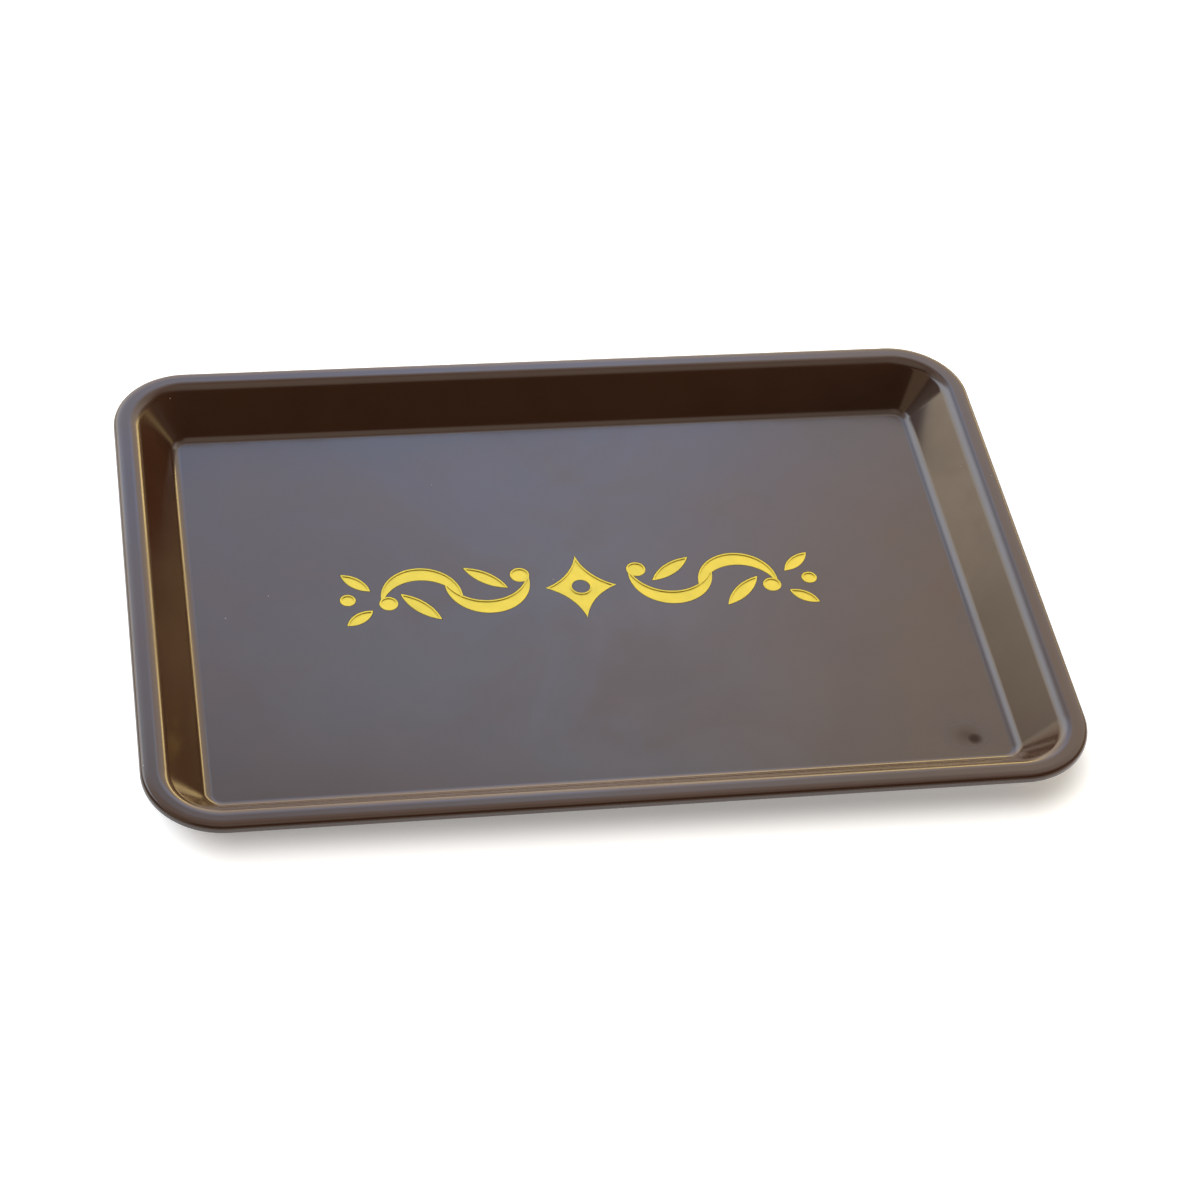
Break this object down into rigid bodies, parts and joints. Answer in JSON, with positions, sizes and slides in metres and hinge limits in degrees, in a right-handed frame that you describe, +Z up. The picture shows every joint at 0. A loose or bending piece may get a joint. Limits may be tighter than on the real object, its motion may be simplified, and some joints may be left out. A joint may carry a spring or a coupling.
{
  "type": "coin tray",
  "caption": "Shallow rectangular coin tray in glossy brown plastic, with sloping walls, a flat rim and a gold scroll ornament stamped on its floor.",
  "frame": {"origin": "middle of the flat underside, on the surface that the tray stands on", "axes": "+X along the tray's length, +Y across it towards the back, the top of the ornament, +Z up"},
  "size_m": [0.165, 0.1142, 0.009],
  "materials": {
    "brown_plastic": "glossy as moulded, dark chocolate brown",
    "gold_foil": "hot-stamped gold foil, smooth and bright"
  },
  "bodies": {
    "root": {"tray_shell": "brown_plastic", "foil_lozenge": "gold_foil", "foil_scroll_right": "gold_foil", "foil_bowl_leaf_right": "gold_foil", "foil_arch_leaf_right": "gold_foil", "foil_end_leaf_upper_right": "gold_foil", "foil_end_leaf_lower_right": "gold_foil", "foil_end_dot_right": "gold_foil", "foil_scroll_left": "gold_foil", "foil_bowl_leaf_left": "gold_foil", "foil_arch_leaf_left": "gold_foil", "foil_end_leaf_upper_left": "gold_foil", "foil_end_leaf_lower_left": "gold_foil", "foil_end_dot_left": "gold_foil"}
  },
  "joints": []
}
